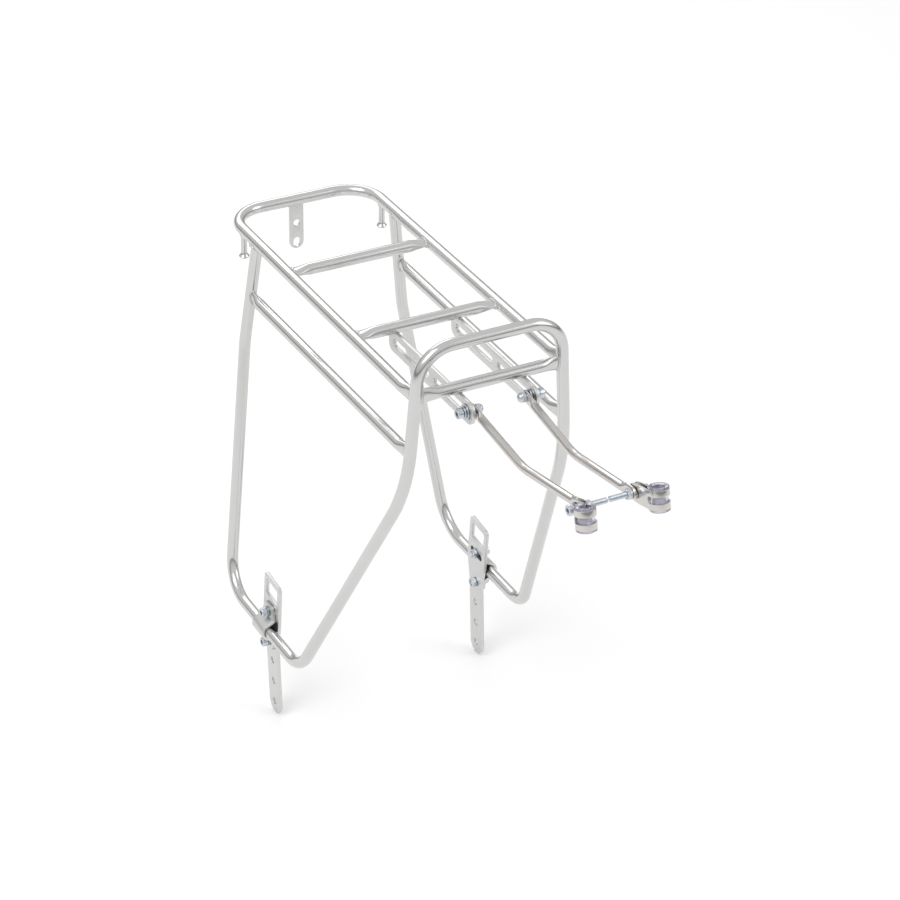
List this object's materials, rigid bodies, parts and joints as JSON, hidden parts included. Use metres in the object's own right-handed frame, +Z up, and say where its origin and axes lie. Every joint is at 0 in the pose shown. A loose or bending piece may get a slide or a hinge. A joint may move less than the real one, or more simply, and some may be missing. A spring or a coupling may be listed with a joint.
{
  "type": "bicycle rear rack",
  "caption": "Tubular steel rear rack with a front hoop, slotted plates, sliding cranked stays with lined seat-stay clamps, and perforated dropout plates.",
  "frame": {"origin": "midpoint between the lowest holes of the two dropout plates, on the bicycle's middle plane", "axes": "+Z up, +Y to the rear along the deck, +X to the bicycle's left, square to the middle plane"},
  "size_m": [0.2298, 0.5601, 0.4496],
  "materials": {
    "polished_tube": "polished",
    "satin_plate": "satin",
    "stainless_stay": "drawn, lightly polished",
    "zinc_fastener": "bright zinc plated",
    "clear_vinyl": "clear soft vinyl"
  },
  "bodies": {
    "rack_frame": {"platform_loop": "polished_tube", "leg_hoop_tube": "polished_tube", "rear_crossbar": "polished_tube", "middle_crossbar": "polished_tube", "front_crossbar": "polished_tube", "light_bracket": "satin_plate", "right_lower_rail": "polished_tube", "right_slotted_plate": "satin_plate", "right_peg": "polished_tube", "left_lower_rail": "polished_tube", "left_slotted_plate": "satin_plate", "left_peg": "polished_tube"},
    "right_slot_bolt_set": {"right_slot_washer": "zinc_fastener", "right_slot_lock_washer": "zinc_fastener", "right_slot_bolt": "zinc_fastener", "right_slot_inner_washer": "zinc_fastener", "right_slot_dome_nut": "zinc_fastener"},
    "right_front_stay": {"right_stay": "stainless_stay"},
    "right_seat_stay_clamp": {"right_clamp_band": "stainless_stay", "right_clamp_sleeve": "clear_vinyl", "right_clamp_washer": "zinc_fastener", "right_clamp_bolt": "zinc_fastener", "right_clamp_nut": "zinc_fastener"},
    "right_dropout_set": {"right_dropout_plate": "satin_plate", "right_saddle_clamp": "satin_plate", "right_upper_saddle_washer": "zinc_fastener", "right_upper_saddle_bolt": "zinc_fastener", "right_upper_saddle_nut": "zinc_fastener", "right_lower_saddle_washer": "zinc_fastener", "right_lower_saddle_bolt": "zinc_fastener", "right_lower_saddle_nut": "zinc_fastener"},
    "left_slot_bolt_set": {"left_slot_washer": "zinc_fastener", "left_slot_lock_washer": "zinc_fastener", "left_slot_bolt": "zinc_fastener", "left_slot_inner_washer": "zinc_fastener", "left_slot_dome_nut": "zinc_fastener"},
    "left_front_stay": {"left_stay": "stainless_stay"},
    "left_seat_stay_clamp": {"left_clamp_band": "stainless_stay", "left_clamp_sleeve": "clear_vinyl", "left_clamp_washer": "zinc_fastener", "left_clamp_bolt": "zinc_fastener", "left_clamp_nut": "zinc_fastener"},
    "left_dropout_set": {"left_dropout_plate": "satin_plate", "left_saddle_clamp": "satin_plate", "left_upper_saddle_washer": "zinc_fastener", "left_upper_saddle_bolt": "zinc_fastener", "left_upper_saddle_nut": "zinc_fastener", "left_lower_saddle_washer": "zinc_fastener", "left_lower_saddle_bolt": "zinc_fastener", "left_lower_saddle_nut": "zinc_fastener"}
  },
  "joints": [
    {"name": "right_slot_slide", "type": "slide", "parent": "rack_frame", "child": "right_slot_bolt_set", "axis": [0, 1, 0], "range_m": [0, 0.05]},
    {"name": "right_stay_hinge", "type": "hinge", "parent": "right_slot_bolt_set", "child": "right_front_stay", "pos_m": [-0.023, -0.20494, 0.38261], "axis": [-1, 0, 0], "range_deg": [-60, 10]},
    {"name": "right_clamp_hinge", "type": "hinge", "parent": "right_front_stay", "child": "right_seat_stay_clamp", "pos_m": [-0.0208, -0.36634, 0.38631], "axis": [-1, 0, 0], "range_deg": [-45, 45]},
    {"name": "right_dropout_slide", "type": "slide", "parent": "rack_frame", "child": "right_dropout_set", "axis": [0, 1, 0], "range_m": [-0.035, 0.018]},
    {"name": "left_slot_slide", "type": "slide", "parent": "rack_frame", "child": "left_slot_bolt_set", "axis": [0, 1, 0], "range_m": [0, 0.05]},
    {"name": "left_stay_hinge", "type": "hinge", "parent": "left_slot_bolt_set", "child": "left_front_stay", "pos_m": [0.023, -0.20494, 0.38261], "axis": [-1, 0, 0], "range_deg": [-60, 10]},
    {"name": "left_clamp_hinge", "type": "hinge", "parent": "left_front_stay", "child": "left_seat_stay_clamp", "pos_m": [0.0208, -0.36634, 0.38631], "axis": [-1, 0, 0], "range_deg": [-45, 45]},
    {"name": "left_dropout_slide", "type": "slide", "parent": "rack_frame", "child": "left_dropout_set", "axis": [0, 1, 0], "range_m": [-0.035, 0.018]}
  ]
}
